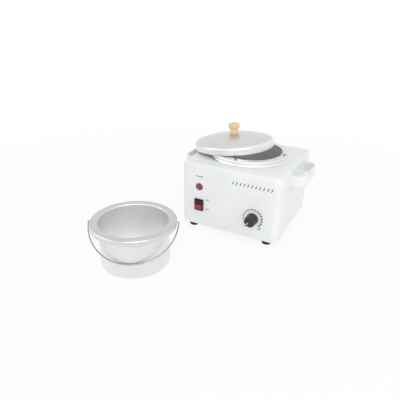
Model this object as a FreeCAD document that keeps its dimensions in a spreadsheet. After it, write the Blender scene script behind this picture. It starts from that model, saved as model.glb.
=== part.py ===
import FreeCAD, Part
import Sketcher
import math
import os
import re

# Wax warmer: a square heater box, its loose pot with a wire bail, and its lid.
# Millimetres, +Z up, the table at z = 0, the front panel faces -Y.

SIZES = {
    # Where the warmer and the pot stand on the table
    "warmer_x": 30.47,
    "warmer_y": 142.77,
    "pot_x": -101.03,
    "pot_y": -181.83,
    "pot_turn": 28.0,
    # Box
    "box_width": 255.0,
    "box_depth": 256.0,
    "box_height": 164.0,
    "box_wall": 1.2,
    "corner_radius": 15.0,
    "edge_radius": 8.0,
    "lip_width": 30.0,
    "plate_inset": 4.0,
    "plate_thickness": 1.2,
    # Feet
    "foot_height": 12.0,
    "foot_radius": 12.8,
    "foot_base_radius": 11.5,
    "foot_round": 2.5,
    "foot_inset_x": 27.5,
    "foot_inset_y": 18.0,
    "base_screw_inset": 18.0,
    # Screws
    "screw_radius": 2.0,
    "screw_head_radius": 3.8,
    "screw_head_height": 2.4,
    "screw_tail": 4.0,
    "fit_gap": 0.05,
    # Well, collar and their spacers
    "well_radius": 83.2,
    "well_wall": 1.5,
    "well_depth": 102.2,
    "well_round": 8.0,
    "collar_height": 13.0,
    "collar_radius": 99.0,
    "collar_sheet": 1.8,
    "collar_round": 4.0,
    "collar_cove": 5.5,
    "collar_edge": 0.8,
    "collar_screw_radius": 91.5,
    "spacer_radius": 4.0,
    "hole_gap": 2.0,
    # Heater and insulation
    "heater_sheet": 3.0,
    "heater_height": 45.0,
    "heater_lift": 12.0,
    "heater_split": 8.0,
    "lug_reach": 12.0,
    "lug_sheet": 2.0,
    "sleeve_gap": 0.5,
    "sleeve_wall": 7.0,
    "sleeve_height": 70.0,
    "sleeve_notch": 30.0,
    # Handles
    "handle_reach": 36.0,
    "handle_half": 62.0,
    "handle_height": 28.0,
    "handle_sheet": 5.5,
    "handle_corner": 29.0,
    "handle_drop": 26.2,
    "handle_tab": 16.0,
    "handle_round": 2.0,
    # Pilot lamp
    "lamp_x": -77.3,
    "lamp_drop": 59.5,
    "lamp_radius": 8.8,
    "lamp_rim_radius": 9.3,
    "lamp_rim": 1.2,
    "lamp_dome": 3.2,
    "lamp_body_radius": 6.5,
    "lamp_body_length": 28.0,
    "lamp_nut_height": 4.0,
    "lamp_nut_radius": 9.5,
    # Rocker switch
    "switch_x": -77.4,
    "switch_drop": 108.2,
    "bezel_width": 23.5,
    "bezel_height": 30.5,
    "bezel_rim": 3.5,
    "bezel_round": 1.5,
    "bezel_border": 2.4,
    "switch_body_inset": 1.2,
    "switch_body_depth": 24.0,
    "rocker_room": 11.0,
    "rocker_gap": 0.5,
    "rocker_swing": 11.0,
    "rocker_rise": 2.5,
    "rocker_hollow": 0.4,
    "rocker_taper": 1.1,
    "rocker_skirt": 3.0,
    "pivot_depth": 4.0,
    "pivot_radius": 1.5,
    "pivot_reach": 0.8,
    "terminal_width": 6.3,
    "terminal_sheet": 0.8,
    "terminal_length": 9.0,
    # Thermostat and knob
    "dial_x": 66.6,
    "dial_drop": 111.2,
    "thermostat_width": 36.0,
    "thermostat_height": 32.0,
    "thermostat_depth": 24.0,
    "thermostat_round": 4.0,
    "bush_radius": 5.0,
    "bush_length": 7.0,
    "bush_nut_radius": 7.2,
    "bush_nut_height": 2.6,
    "shaft_radius": 3.0,
    "shaft_seat": 10.0,
    "knob_radius": 14.6,
    "knob_front_radius": 13.4,
    "knob_height": 21.0,
    "knob_stand": 0.8,
    "knob_bore_depth": 15.0,
    "knob_skirt_depth": 7.0,
    "knob_skirt_radius": 11.0,
    "flute_count": 20,
    "flute_radius": 1.5,
    "flute_sink": 0.7,
    "knob_lip": 1.5,
    "pointer_width": 1.8,
    "pointer_length": 8.0,
    "pointer_sink": 0.8,
    "pointer_proud": 0.3,
    "pointer_turn": 225.0,
    # Bulb, its clip and the capillary
    "bulb_radius": 3.2,
    "bulb_length": 34.0,
    "bulb_x": 34.0,
    "bulb_y": -32.0,
    "clip_width": 10.0,
    "clip_sheet": 0.8,
    "clip_foot": 7.0,
    "capillary_radius": 0.8,
    "capillary_reach": 26.0,
    "capillary_bend": 9.0,
    # Cut-out, terminal block, earth stud and gland
    "cutout_radius": 9.0,
    "cutout_body_radius": 7.2,
    "cutout_height": 9.0,
    "cutout_flange": 2.0,
    "cutout_x": -34.0,
    "cutout_y": -10.0,
    "block_width": 40.0,
    "block_depth": 22.0,
    "block_height": 18.0,
    "block_x": -60.0,
    "block_inset": 46.0,
    "block_channel": 9.0,
    "earth_x": 60.0,
    "earth_inset": 38.0,
    "earth_length": 16.0,
    "gland_x": -60.0,
    "gland_z": 45.0,
    "gland_bore": 4.0,
    "gland_radius": 7.5,
    "gland_flange": 10.5,
    "gland_length": 14.0,
    "gland_flange_height": 4.0,
    "gland_round": 1.5,
    "gland_nut_radius": 11.5,
    "gland_nut_height": 4.0,
    # Pot and bail
    "pot_height": 104.3,
    "pot_radius": 76.5,
    "pot_wall": 1.4,
    "pot_round": 9.0,
    "pot_flange_radius": 93.0,
    "pot_lip": 11.5,
    "pot_lip_round": 3.0,
    "pot_mouth_round": 3.0,
    "bail_radius": 97.0,
    "bail_wire": 1.4,
    "bail_drop": 5.8,
    "bail_head_radius": 2.4,
    "bail_head_height": 1.4,
    "bail_gap": 0.1,
    "bail_rest_gap": 0.3,
    # Lid and its wooden knob
    "lid_x": -50.3,
    "lid_y": 18.5,
    "lid_rise": 9.9,
    "lid_tilt": 6.15,
    "lid_lean": 253.0,
    "lid_radius": 103.0,
    "lid_sheet": 1.4,
    "lid_height": 18.0,
    "lid_round": 5.0,
    "lid_crown": 14.0,
    "lid_seat": 16.0,
    "grip_height": 30.0,
    "grip_base_radius": 9.8,
    "grip_bulge_curve": 8.5,
    "grip_waist_radius": 9.4,
    "grip_waist_height": 11.5,
    "grip_neck_curve": 5.0,
    "grip_head_radius": 14.6,
    "grip_head_swell": 1.4,
    "grip_head_height": 16.0,
    "grip_head_curve": 11.5,
    "grip_crown_height": 27.0,
    "grip_screw_depth": 14.0,
    "washer_radius": 6.0,
    "washer_height": 1.0,
}

doc = FreeCAD.newDocument("wax_warmer")
sheet = doc.addObject("Spreadsheet::Sheet", "Sizes")
for row, (alias, number) in enumerate(SIZES.items(), start=1):
    sheet.set(f"A{row}", alias)
    sheet.set(f"B{row}", str(number))
    sheet.setAlias(f"B{row}", alias)
doc.recompute()


def bound(text):
    """An expression with each size's name pointing at its cell."""
    return re.sub(r"[a-z][a-z_0-9]*", lambda word: f"Sizes.{word[0]}" if word[0] in SIZES else word[0], text)


def value(text):
    """The number that an expression gives now."""
    return float(sheet.evalExpression(bound(text)))


def set_place(piece, place, axis=(0, 0, 1), angle="0"):
    """Stands a piece at a place, turned about one axis."""
    turn = FreeCAD.Rotation(FreeCAD.Vector(*axis), value(angle))
    piece.Placement = FreeCAD.Placement(FreeCAD.Vector(*[value(text) for text in place]), turn)
    for letter, text in zip("xyz", place):
        if text != "0":
            piece.setExpression(f"Placement.Base.{letter}", bound(text))
    if angle != "0":
        piece.setExpression("Placement.Rotation.Angle", bound(angle))


def new_body(label, place=("0", "0", "0"), axis=(0, 0, 1), angle="0"):
    body = doc.addObject("PartDesign::Body", label)
    body.Label = label
    set_place(body, place, axis, angle)
    return body


def new_sketch(body, plane, offset):
    """An empty sketch on one of the body's own planes, moved along the plane's normal."""
    sketch = body.newObject("Sketcher::SketchObject", "Sketch")
    support = [item for item in body.Origin.OriginFeatures if item.Role == plane]
    sketch.AttachmentSupport = (support[0], [""])
    sketch.MapMode = "FlatFace"
    sketch.AttachmentOffset = FreeCAD.Placement(FreeCAD.Vector(0, 0, value(offset)), FreeCAD.Rotation())
    sketch.setExpression("AttachmentOffset.Base.z", bound(offset))
    return sketch


def pin_point(sketch, geometry, end, x, y):
    """Ties one point of a sketch to two expressions."""
    for kind, text in (("DistanceX", x), ("DistanceY", y)):
        number = sketch.addConstraint(Sketcher.Constraint(kind, -1, 1, geometry, end, value(text)))
        sketch.setExpression(f"Constraints[{number}]", bound(text))


def size_radius(sketch, geometry, radius):
    number = sketch.addConstraint(Sketcher.Constraint("Radius", geometry, value(radius)))
    sketch.setExpression(f"Constraints[{number}]", bound(radius))


def arc_between(start, end, radius, turn):
    """The short arc from start to end; turn is 1 to the left and -1 to the right."""
    middle = (start + end) * 0.5
    chord = end - start
    rise = math.sqrt(max(radius ** 2 - (chord.Length / 2) ** 2, 0))
    side = FreeCAD.Vector(-chord.y, chord.x, 0).normalize() * turn
    centre = middle + side * rise
    first, last = (start, end) if turn > 0 else (end, start)
    angles = [math.atan2(point.y - centre.y, point.x - centre.x) for point in (first, last)]
    circle = Part.Circle(centre, FreeCAD.Vector(0, 0, 1), radius)
    return Part.ArcOfCircle(circle, angles[0], angles[1] if angles[1] > angles[0] else angles[1] + 2 * math.pi)


def draw_outline(sketch, steps):
    """A closed outline. A step is (x, y), or (x, y, radius, turn) for an arc that ends there."""
    points = [FreeCAD.Vector(value(step[0]), value(step[1]), 0) for step in steps]
    ends = []
    for index, step in enumerate(steps):
        start, end = points[index - 1], points[index]
        if len(step) == 2:
            ends.append((sketch.addGeometry(Part.LineSegment(start, end)), 1, 2))
        else:
            number = sketch.addGeometry(arc_between(start, end, value(step[2]), step[3]))
            ends.append((number, 1, 2) if step[3] > 0 else (number, 2, 1))
    for index, step in enumerate(steps):
        number, _, last = ends[index]
        following, first, _ = ends[(index + 1) % len(steps)]
        sketch.addConstraint(Sketcher.Constraint("Coincident", number, last, following, first))
        pin_point(sketch, number, last, step[0], step[1])
    for (number, _, _), step in zip(ends, steps):
        if len(step) > 2:
            size_radius(sketch, number, step[2])


def outline(body, plane, steps, offset="0"):
    sketch = new_sketch(body, plane, offset)
    draw_outline(sketch, steps)
    return sketch


def circles(body, plane, rings, offset="0"):
    """Circles, each (x, y, radius)."""
    sketch = new_sketch(body, plane, offset)
    for x, y, radius in rings:
        centre = FreeCAD.Vector(value(x), value(y), 0)
        number = sketch.addGeometry(Part.Circle(centre, FreeCAD.Vector(0, 0, 1), value(radius)))
        pin_point(sketch, number, 3, x, y)
        size_radius(sketch, number, radius)
    return sketch


def feature(body, kind, sketch, length, reverse=False):
    """A pad or a pocket of a sketch."""
    made = body.newObject(f"PartDesign::{kind}", kind)
    made.Profile = sketch
    made.setExpression("Length", bound(length))
    made.Reversed = reverse
    body.Tip = made
    doc.recompute()
    return made


def pad(body, sketch, length, reverse=False):
    return feature(body, "Pad", sketch, length, reverse)


def pocket(body, sketch, length, reverse=False):
    """A cut that has to take something away."""
    before = body.Shape.Volume
    made = feature(body, "Pocket", sketch, length, reverse)
    if not body.Shape.Volume < before - 1e-6:
        raise RuntimeError(f"{body.Label}: a pocket cuts nothing")
    return made


def turn_section(body, steps):
    """Sweeps a half section round the body's own upright axis; its sketch comes back."""
    turned = body.newObject("PartDesign::Revolution", "Revolution")
    sketch = outline(body, "XZ_Plane", steps)
    turned.Profile = sketch
    turned.ReferenceAxis = (sketch, ["V_Axis"])
    turned.Angle = 360
    body.Tip = turned
    doc.recompute()
    return sketch


def revolve(label, steps, place=("0", "0", "0"), axis=(0, 0, 1), angle="0"):
    """A turned piece: its half section, as radius and height, swept round the upright axis."""
    body = new_body(label, place, axis, angle)
    turn_section(body, steps)
    return body


def round_edges(body, radius, wanted):
    """Rounds the edges that a test picks."""
    doc.recompute()
    base = body.Tip
    names = [f"Edge{number}" for number, edge in enumerate(base.Shape.Edges, start=1) if wanted(edge.BoundBox)]
    made = body.newObject("PartDesign::Fillet", "Fillet")
    made.Base = (base, names)
    made.setExpression("Radius", bound(radius))
    body.Tip = made
    doc.recompute()


def level_at(height):
    """A test for edges that lie level at a height."""
    level = value(height)
    return lambda box: abs(box.ZMin - level) < 1e-4 and abs(box.ZMax - level) < 1e-4


def rounded(half_x, half_y, radius):
    """A rectangle with round corners, about the origin."""
    inner_x = f"({half_x}) - ({radius})"
    inner_y = f"({half_y}) - ({radius})"
    return [
        (inner_x, f"-({half_y})"),
        (half_x, f"-({inner_y})", radius, 1),
        (half_x, inner_y),
        (inner_x, half_y, radius, 1),
        (f"-({inner_x})", half_y),
        (f"-({half_x})", inner_y, radius, 1),
        (f"-({half_x})", f"-({inner_y})"),
        (f"-({inner_x})", f"-({half_y})", radius, 1),
    ]


def rectangle(low_x, low_y, high_x, high_y):
    return [(low_x, low_y), (high_x, low_y), (high_x, high_y), (low_x, high_y)]


def hexagon(radius):
    """A hexagon about the origin, by its corner radius."""
    return [(f"({radius}) * cos({60 * corner})", f"({radius}) * sin({60 * corner})") for corner in range(6)]


def group(label, pieces):
    """One node of several separate solids."""
    made = doc.addObject("Part::Compound", label)
    made.Label = label
    made.Links = pieces
    return made


def screw(label, shank, place, axis=(0, 0, 1), angle="0"):
    """A pan-head screw: its head below the place, its shank running up from it."""
    head, radius = "screw_head_radius", "screw_radius"
    steps = [
        ("0", "-screw_head_height"),
        (f"{head} / 2", "-screw_head_height"),
        (head, "-screw_head_height / 2", "screw_head_height", 1),
        (head, "0"),
        (radius, "0"),
        (radius, shank),
        ("0", shank),
    ]
    return revolve(label, steps, place, axis, angle)


nodes = []

# Levels and places that several pieces share
SHELL_BASE = "foot_height + plate_thickness"
SHELL_TOP = f"{SHELL_BASE} + box_height"
COLLAR_TOP = f"{SHELL_TOP} + collar_height"
FLANGE_TOP = f"{COLLAR_TOP} - collar_sheet"
FLANGE_RADIUS = "collar_radius - collar_round"
WELL_FLOOR = f"{COLLAR_TOP} - well_depth"
HANDLE_MIDDLE = f"{SHELL_TOP} - handle_drop"
LAMP_Z = f"{SHELL_TOP} - lamp_drop"
SWITCH_Z = f"{SHELL_TOP} - switch_drop"
DIAL_Z = f"{SHELL_TOP} - dial_drop"
EARTH_SPOT = ("earth_x", "box_depth / 2 - earth_inset")
LID_TOP = "lid_height + lid_crown"
WELL_OUTER = "well_radius + well_wall"
SCREW_HOLE = "screw_radius + fit_gap"
HEAD_SINK = "screw_head_height * 2"
FRONT = "box_depth / 2"
SIGNS = ("-1", "1")
CORNERS = [(x, y) for x in SIGNS for y in SIGNS]
FOOT_SPOTS = [
    (f"{x} * (box_width / 2 - foot_inset_x)", f"{y} * (box_depth / 2 - foot_inset_y)") for x, y in CORNERS
]
SIDE_SPOTS = [("0", f"{y} * (box_depth / 2 - base_screw_inset)") for y in SIGNS]
SIDE_SPOTS += [(f"{x} * (box_width / 2 - base_screw_inset)", "0") for x in SIGNS]
COLLAR_SPOTS = [
    (f"collar_screw_radius * cos({angle})", f"collar_screw_radius * sin({angle})")
    for angle in (0, 90, 180, 270)
]
TAB_MIDDLE = "handle_half - (handle_sheet + handle_tab) / 2"
SWITCH_OPEN_X = "bezel_width / 2 - bezel_border"
SWITCH_OPEN_Z = "bezel_height / 2 - bezel_border"
SWITCH_BODY_X = "bezel_width / 2 - switch_body_inset"
SWITCH_BODY_Z = "bezel_height / 2 - switch_body_inset"


def on_warmer(x, y, z):
    """A place measured from the middle of the warmer, on the table."""
    return (f"warmer_x + ({x})", f"warmer_y + ({y})", z)


def on_front(x, out, z):
    """A place in front of the panel, by its distance out."""
    return on_warmer(x, f"-({FRONT}) - ({out})", z)


def with_radius(spots, radius):
    return [(x, y, radius) for x, y in spots]


def housing_shell():
    """Box of sheet steel, open below, with an inward lip for the base plate."""
    body = new_body("housing_shell", on_warmer("0", "0", SHELL_BASE))
    half_x, half_y = "box_width / 2", "box_depth / 2"
    pad(body, outline(body, "XY_Plane", rounded(half_x, half_y, "corner_radius")), "box_height")
    inside = rounded(f"{half_x} - box_wall", f"{half_y} - box_wall", "corner_radius - box_wall")
    pocket(body, outline(body, "XY_Plane", inside, "box_wall"), "box_height - 2 * box_wall", True)
    round_edges(body, "edge_radius - box_wall", level_at("box_height - box_wall"))
    round_edges(body, "edge_radius", level_at("box_height"))
    mouth = rounded(f"{half_x} - lip_width", f"{half_y} - lip_width", "corner_radius")
    pocket(body, outline(body, "XY_Plane", mouth), "box_wall", True)
    top_holes = [("0", "0", f"{WELL_OUTER} + hole_gap")] + with_radius(COLLAR_SPOTS, SCREW_HOLE)
    pocket(body, circles(body, "XY_Plane", top_holes, "box_height - box_wall"), "box_wall", True)
    pocket(body, circles(body, "XY_Plane", with_radius(FOOT_SPOTS + SIDE_SPOTS, SCREW_HOLE)), "box_wall", True)
    front_holes = [
        ("lamp_x", f"{LAMP_Z} - ({SHELL_BASE})", "lamp_body_radius + fit_gap"),
        ("dial_x", f"{DIAL_Z} - ({SHELL_BASE})", "bush_radius + fit_gap"),
    ]
    pocket(body, circles(body, "XZ_Plane", front_holes, FRONT), "2 * box_wall")
    switch_level = f"{SWITCH_Z} - ({SHELL_BASE})"
    slot = rectangle(
        f"switch_x - ({SWITCH_BODY_X} + fit_gap)",
        f"{switch_level} - ({SWITCH_BODY_Z} + fit_gap)",
        f"switch_x + ({SWITCH_BODY_X} + fit_gap)",
        f"{switch_level} + ({SWITCH_BODY_Z} + fit_gap)",
    )
    pocket(body, outline(body, "XZ_Plane", slot, FRONT), "2 * box_wall")
    gland_hole = [("gland_x", f"gland_z - ({SHELL_BASE})", "gland_radius + fit_gap")]
    pocket(body, circles(body, "XZ_Plane", gland_hole, f"-({FRONT})"), "2 * box_wall", True)
    handle_level = f"{HANDLE_MIDDLE} - ({SHELL_BASE})"
    handle_holes = [(f"{side} * ({TAB_MIDDLE})", handle_level, SCREW_HOLE) for side in SIGNS]
    pocket(body, circles(body, "YZ_Plane", handle_holes, half_x), "2 * box_wall")
    pocket(body, circles(body, "YZ_Plane", handle_holes, f"-({half_x})"), "2 * box_wall", True)
    return body


def base_plate():
    body = new_body("base_plate", on_warmer("0", "0", "foot_height"))
    edge = rounded("box_width / 2 - plate_inset", "box_depth / 2 - plate_inset", "corner_radius - plate_inset")
    pad(body, outline(body, "XY_Plane", edge), "plate_thickness")
    holes = with_radius(FOOT_SPOTS + SIDE_SPOTS, SCREW_HOLE) + [(*EARTH_SPOT, SCREW_HOLE)]
    pocket(body, circles(body, "XY_Plane", holes), "plate_thickness", True)
    return body


def foot(label, x, y):
    """Rubber foot with its screw head sunk from below."""
    steps = [
        ("screw_head_radius + fit_gap", "0"),
        ("foot_base_radius - foot_round", "0"),
        ("foot_base_radius", "foot_round", "foot_round", 1),
        ("foot_radius", "foot_height"),
        (SCREW_HOLE, "foot_height"),
        (SCREW_HOLE, HEAD_SINK),
        ("screw_head_radius + fit_gap", HEAD_SINK),
    ]
    return revolve(label, steps, on_warmer(x, y, "0"))


def handle(label, side):
    """Flat strap bent into a bow, with a tab at each end that lies on the wall."""
    wall_angle = "0" if side == "1" else "180"
    low = f"{HANDLE_MIDDLE} - handle_height / 2"
    body = new_body(label, on_warmer(f"{side} * box_width / 2", "0", low), (0, 0, 1), wall_angle)
    bend, inner_bend = "handle_reach - handle_corner", "handle_corner - handle_sheet"
    bow = "handle_half - handle_corner"
    inner_half, tab_end = "handle_half - handle_sheet", "handle_half - handle_tab"
    steps = [
        (bend, "-handle_half"),
        ("handle_reach", f"-({bow})", "handle_corner", 1),
        ("handle_reach", bow),
        (bend, "handle_half", "handle_corner", 1),
        ("0", "handle_half"),
        ("0", tab_end),
        ("handle_sheet", tab_end),
        ("handle_sheet", inner_half),
        (bend, inner_half),
        ("handle_reach - handle_sheet", bow, inner_bend, -1),
        ("handle_reach - handle_sheet", f"-({bow})"),
        (bend, f"-({inner_half})", inner_bend, -1),
        ("handle_sheet", f"-({inner_half})"),
        ("handle_sheet", f"-({tab_end})"),
        ("0", f"-({tab_end})"),
        ("0", "-handle_half"),
    ]
    pad(body, outline(body, "XY_Plane", steps), "handle_height")
    reach = value("handle_reach - handle_corner - 1")
    bow_ends = (level_at("0"), level_at("handle_height"))
    round_edges(body, "handle_round", lambda box: box.XMax > reach and any(test(box) for test in bow_ends))
    holes = [(f"{end} * ({TAB_MIDDLE})", "handle_height / 2", SCREW_HOLE) for end in SIGNS]
    pocket(body, circles(body, "YZ_Plane", holes), "handle_sheet", True)
    return body


def handle_screws():
    """Screws through the handles' tabs, with their heads in the finger gap."""
    made = []
    for side, turn in zip(SIGNS, ("90", "-90")):
        for end in SIGNS:
            x = f"{side} * (box_width / 2 + handle_sheet)"
            place = on_warmer(x, f"{end} * ({TAB_MIDDLE})", HANDLE_MIDDLE)
            made.append(screw("handle_screw", "handle_sheet + box_wall + screw_tail", place, (0, 1, 0), turn))
    return group("handle_screws", made)


def heating_well():
    """Spun cup with a flange that lies under the collar."""
    floor_top = f"{WELL_FLOOR} + well_wall"
    inner_round = "well_round - well_wall"
    steps = [
        ("0", WELL_FLOOR),
        (f"{WELL_OUTER} - well_round", WELL_FLOOR),
        (WELL_OUTER, f"{WELL_FLOOR} + well_round", "well_round", 1),
        (WELL_OUTER, f"{FLANGE_TOP} - well_wall"),
        (FLANGE_RADIUS, f"{FLANGE_TOP} - well_wall"),
        (FLANGE_RADIUS, FLANGE_TOP),
        ("well_radius", FLANGE_TOP),
        ("well_radius", f"{WELL_FLOOR} + well_round"),
        (f"well_radius - ({inner_round})", floor_top, inner_round, -1),
        ("0", floor_top),
    ]
    body = revolve("heating_well", steps, on_warmer("0", "0", "0"))
    holes = circles(body, "XY_Plane", with_radius(COLLAR_SPOTS, SCREW_HOLE), f"{FLANGE_TOP} - well_wall")
    pocket(body, holes, "well_wall", True)
    return body


def well_collar():
    """Polished ring round the well's mouth: a flat, a rounded edge and a wall that flares out on the box."""
    inner_round = "collar_round - collar_sheet"
    foot_radius = "collar_radius + collar_cove"
    steps = [
        ("well_radius", FLANGE_TOP),
        (FLANGE_RADIUS, FLANGE_TOP),
        ("collar_radius - collar_sheet", f"{COLLAR_TOP} - collar_round", inner_round, -1),
        ("collar_radius - collar_sheet", SHELL_TOP),
        (foot_radius, SHELL_TOP),
        (foot_radius, f"{SHELL_TOP} + collar_edge"),
        ("collar_radius", f"{SHELL_TOP} + collar_edge + collar_cove", "collar_cove", -1),
        ("collar_radius", f"{COLLAR_TOP} - collar_round"),
        (FLANGE_RADIUS, COLLAR_TOP, "collar_round", 1),
        ("well_radius", COLLAR_TOP),
    ]
    body = revolve("well_collar", steps, on_warmer("0", "0", "0"))
    holes = circles(body, "XY_Plane", with_radius(COLLAR_SPOTS, SCREW_HOLE), FLANGE_TOP)
    pocket(body, holes, "collar_sheet", True)
    return body


def well_spacers():
    """Sleeves that carry the well's flange on the top of the box."""
    high = f"{FLANGE_TOP} - well_wall - ({SHELL_TOP})"
    steps = [(SCREW_HOLE, "0"), ("spacer_radius", "0"), ("spacer_radius", high), (SCREW_HOLE, high)]
    made = [revolve("spacer", steps, on_warmer(x, y, SHELL_TOP)) for x, y in COLLAR_SPOTS]
    return group("well_spacers", made)


def well_screws():
    shank = "collar_height + box_wall + screw_tail"
    made = [
        screw("well_screw", shank, on_warmer(x, y, COLLAR_TOP), (1, 0, 0), "180") for x, y in COLLAR_SPOTS
    ]
    return group("well_screws", made)


def band_heater():
    """Heating band round the well, split at the back between two clamp lugs."""
    body = new_body("band_heater", on_warmer("0", "0", f"{WELL_FLOOR} + heater_lift"))
    outer = f"{WELL_OUTER} + heater_sheet"
    lug_root = f"{outer} - heater_sheet / 2"
    pad(body, circles(body, "XY_Plane", [("0", "0", WELL_OUTER), ("0", "0", outer)]), "heater_height")
    for side in SIGNS:
        near, far = f"{side} * heater_split / 2", f"{side} * (heater_split / 2 + lug_sheet)"
        lug = rectangle(near, lug_root, far, f"{outer} + lug_reach")
        pad(body, outline(body, "XY_Plane", lug), "heater_height")
    gap = rectangle("-heater_split / 2", "0", "heater_split / 2", f"{outer} + lug_reach")
    pocket(body, outline(body, "XY_Plane", gap), "heater_height", True)
    hole = [(f"{outer} + lug_reach / 2", "heater_height / 2", SCREW_HOLE)]
    pocket(body, circles(body, "YZ_Plane", hole, "heater_split"), "2 * heater_split")
    return body


def heater_bolt():
    """Bolt that draws the heater's two lugs together."""
    place = on_warmer(
        "-(heater_split / 2 + lug_sheet)",
        f"{WELL_OUTER} + heater_sheet + lug_reach / 2",
        f"{WELL_FLOOR} + heater_lift + heater_height / 2",
    )
    return screw("heater_bolt", "heater_split + 2 * lug_sheet + screw_tail", place, (0, 1, 0), "90")


def insulation_sleeve():
    """Fibre sleeve round the heater, open at the back for its lugs."""
    inner = f"{WELL_OUTER} + heater_sheet + sleeve_gap"
    body = new_body("insulation_sleeve", on_warmer("0", "0", WELL_FLOOR))
    rings = [("0", "0", inner), ("0", "0", f"{inner} + sleeve_wall")]
    pad(body, circles(body, "XY_Plane", rings), "sleeve_height")
    notch = rectangle("-sleeve_notch / 2", "0", "sleeve_notch / 2", f"{inner} + 2 * sleeve_wall")
    pocket(body, outline(body, "XY_Plane", notch), "sleeve_height", True)
    return body


def pilot_lamp_lens():
    steps = [
        ("0", "0"),
        ("lamp_rim_radius", "0"),
        ("lamp_rim_radius", "lamp_rim"),
        ("lamp_radius", "lamp_rim"),
        ("0", "lamp_rim + lamp_dome", "(lamp_radius ^ 2 + lamp_dome ^ 2) / (2 * lamp_dome)", 1),
    ]
    return revolve("pilot_lamp_lens", steps, on_front("lamp_x", "0", LAMP_Z), (1, 0, 0), "90")


def pilot_lamp_body():
    """Lamp holder: a tube through the panel behind the lens."""
    body = new_body("pilot_lamp_body", on_front("lamp_x", "0", LAMP_Z), (1, 0, 0), "90")
    pad(body, circles(body, "XY_Plane", [("0", "0", "lamp_body_radius")]), "lamp_body_length", True)
    for side in SIGNS:
        low = f"{side} * lamp_body_radius / 2"
        blade = rectangle(f"{low} - terminal_sheet / 2", "-terminal_width / 2", f"{low} + terminal_sheet / 2",
                          "terminal_width / 2")
        pad(body, outline(body, "XY_Plane", blade, "-lamp_body_length"), "terminal_length", True)
    return body


def panel_nut(label, x, z, out, corner_radius, hole, high):
    """Hexagon nut whose near face is that far in front of the panel."""
    body = new_body(label, on_front(x, out, z), (1, 0, 0), "90")
    pad(body, outline(body, "XY_Plane", hexagon(corner_radius)), high)
    pocket(body, circles(body, "XY_Plane", [("0", "0", hole)]), high, True)
    return body


def switch_housing():
    """Bezel on the panel with the switch's body behind it and three blade terminals."""
    body = new_body("switch_housing", on_front("switch_x", "0", SWITCH_Z), (1, 0, 0), "90")
    rim = rounded("bezel_width / 2", "bezel_height / 2", "bezel_round")
    pad(body, outline(body, "XY_Plane", rim), "bezel_rim")
    back = rectangle(f"-({SWITCH_BODY_X})", f"-({SWITCH_BODY_Z})", SWITCH_BODY_X, SWITCH_BODY_Z)
    pad(body, outline(body, "XY_Plane", back), "switch_body_depth", True)
    mouth = rectangle(f"-({SWITCH_OPEN_X})", f"-({SWITCH_OPEN_Z})", SWITCH_OPEN_X, SWITCH_OPEN_Z)
    pocket(body, outline(body, "XY_Plane", mouth, "bezel_rim"), "rocker_room")
    pivot = [("0", "bezel_rim - pivot_depth", "pivot_radius + fit_gap")]
    pocket(body, circles(body, "YZ_Plane", pivot, "bezel_width / 2"), "bezel_width")
    for step in ("-1", "0", "1"):
        level = f"{step} * bezel_height / 4"
        blade = rectangle("-terminal_width / 2", f"{level} - terminal_sheet / 2", "terminal_width / 2",
                          f"{level} + terminal_sheet / 2")
        pad(body, outline(body, "XY_Plane", blade, "-switch_body_depth"), "terminal_length", True)
    return body


def switch_rocker():
    """Rocker with a shallow V face on two side pins, its upper half pressed in at rest."""
    half_width = f"{SWITCH_OPEN_X} - rocker_gap"
    skirt_end = f"{SWITCH_OPEN_Z} - rocker_gap"
    face_end = f"{skirt_end} - rocker_taper"
    place = on_front("switch_x", "bezel_rim - pivot_depth", SWITCH_Z)
    body = new_body("switch_rocker", place, (1, 0, 0), "90 - rocker_swing")
    steps = [
        (f"-({face_end})", "pivot_depth + rocker_rise"),
        (f"-({skirt_end})", "-rocker_skirt"),
        (skirt_end, "-rocker_skirt"),
        (face_end, "pivot_depth + rocker_rise"),
        ("0", "pivot_depth + rocker_hollow"),
    ]
    pad(body, outline(body, "YZ_Plane", steps, f"-({half_width})"), f"2 * ({half_width})")
    pins = [("0", "0", "pivot_radius")]
    pin_reach = f"{half_width} + rocker_gap + pivot_reach"
    pad(body, circles(body, "YZ_Plane", pins, f"-({pin_reach})"), f"2 * ({pin_reach})")
    return body


def thermostat_body():
    """Thermostat behind the panel, with the bush that carries its shaft through it."""
    body = new_body("thermostat_body", on_front("dial_x", "-box_wall", DIAL_Z), (1, 0, 0), "90")
    case = rounded("thermostat_width / 2", "thermostat_height / 2", "thermostat_round")
    pad(body, outline(body, "XY_Plane", case), "thermostat_depth", True)
    pad(body, circles(body, "XY_Plane", [("0", "0", "bush_radius")]), "box_wall + bush_length")
    bore = circles(body, "XY_Plane", [("0", "0", "shaft_radius + fit_gap")], "box_wall + bush_length")
    pocket(body, bore, "box_wall + bush_length + shaft_seat")
    for side in SIGNS:
        middle = f"{side} * thermostat_width / 4"
        low, high = f"{middle} - terminal_width / 2", f"{middle} + terminal_width / 2"
        blade = rectangle(low, "-terminal_sheet / 2", high, "terminal_sheet / 2")
        pad(body, outline(body, "XY_Plane", blade, "-thermostat_depth"), "terminal_length", True)
    return body


def knob_body(label):
    """A body that stands on the dial, looking out of the panel, turned to where the pointer rests."""
    body = new_body(label, on_front("dial_x", "0", DIAL_Z))
    out_of_panel = FreeCAD.Rotation(FreeCAD.Vector(1, 0, 0), 90)
    to_pointer = FreeCAD.Rotation(FreeCAD.Vector(0, 0, 1), value("pointer_turn"))
    body.Placement = FreeCAD.Placement(body.Placement.Base, out_of_panel.multiply(to_pointer))
    return body


def pointer_outline():
    """The pointer's bar, from inside the knob's face to its rim, along the local X axis."""
    outer = "knob_front_radius - knob_lip"
    return rectangle(f"{outer} - pointer_length", "-pointer_width / 2", outer, "pointer_width / 2")


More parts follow.
